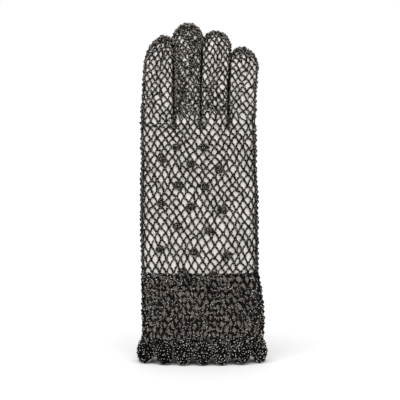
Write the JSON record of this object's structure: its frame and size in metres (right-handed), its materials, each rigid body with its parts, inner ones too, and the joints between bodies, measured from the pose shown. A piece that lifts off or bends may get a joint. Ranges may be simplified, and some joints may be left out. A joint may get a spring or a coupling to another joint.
{
  "type": "short beaded mesh glove",
  "caption": "Short dress glove for the right hand: a black beaded net over a pale lining, with a dark-lined cuff, small bead motifs and a scalloped bead hem.",
  "frame": {"origin": "centre of the wrist opening, in the plane of the hem's lowest points", "axes": "+Z from the hem to the fingertips, -Y out of the back of the hand, -X towards the index finger's side"},
  "size_m": [0.0963, 0.0508, 0.257],
  "materials": {
    "hand_beads": "satin black beads on thread",
    "cuff_beads": "shiny black beads",
    "motif_beads": "shiny black beads",
    "hand_lining": "sheer pale knit, matte",
    "cuff_lining": "dark taupe knit, matte"
  },
  "bodies": {
    "root": {"cuff_lining": "cuff_lining", "cuff_net": "cuff_beads", "hand_lining": "hand_lining", "hand_net": "hand_beads", "hem_ruffle": "cuff_beads", "index_finger_lining": "hand_lining", "index_finger_net": "hand_beads", "little_finger_lining": "hand_lining", "little_finger_net": "hand_beads", "middle_finger_lining": "hand_lining", "middle_finger_net": "hand_beads", "motif_01": "motif_beads", "motif_02": "motif_beads", "motif_03": "motif_beads", "motif_04": "motif_beads", "motif_05": "motif_beads", "motif_06": "motif_beads", "motif_07": "motif_beads", "motif_08": "motif_beads", "motif_09": "motif_beads", "motif_10": "motif_beads", "motif_11": "motif_beads", "motif_12": "motif_beads", "motif_13": "motif_beads", "motif_14": "motif_beads", "motif_15": "motif_beads", "motif_16": "motif_beads", "motif_17": "motif_beads", "ring_finger_lining": "hand_lining", "ring_finger_net": "hand_beads", "thumb_gusset_lining": "hand_lining", "thumb_gusset_net": "hand_beads", "thumb_lining": "hand_lining", "thumb_net": "hand_beads"}
  },
  "joints": []
}
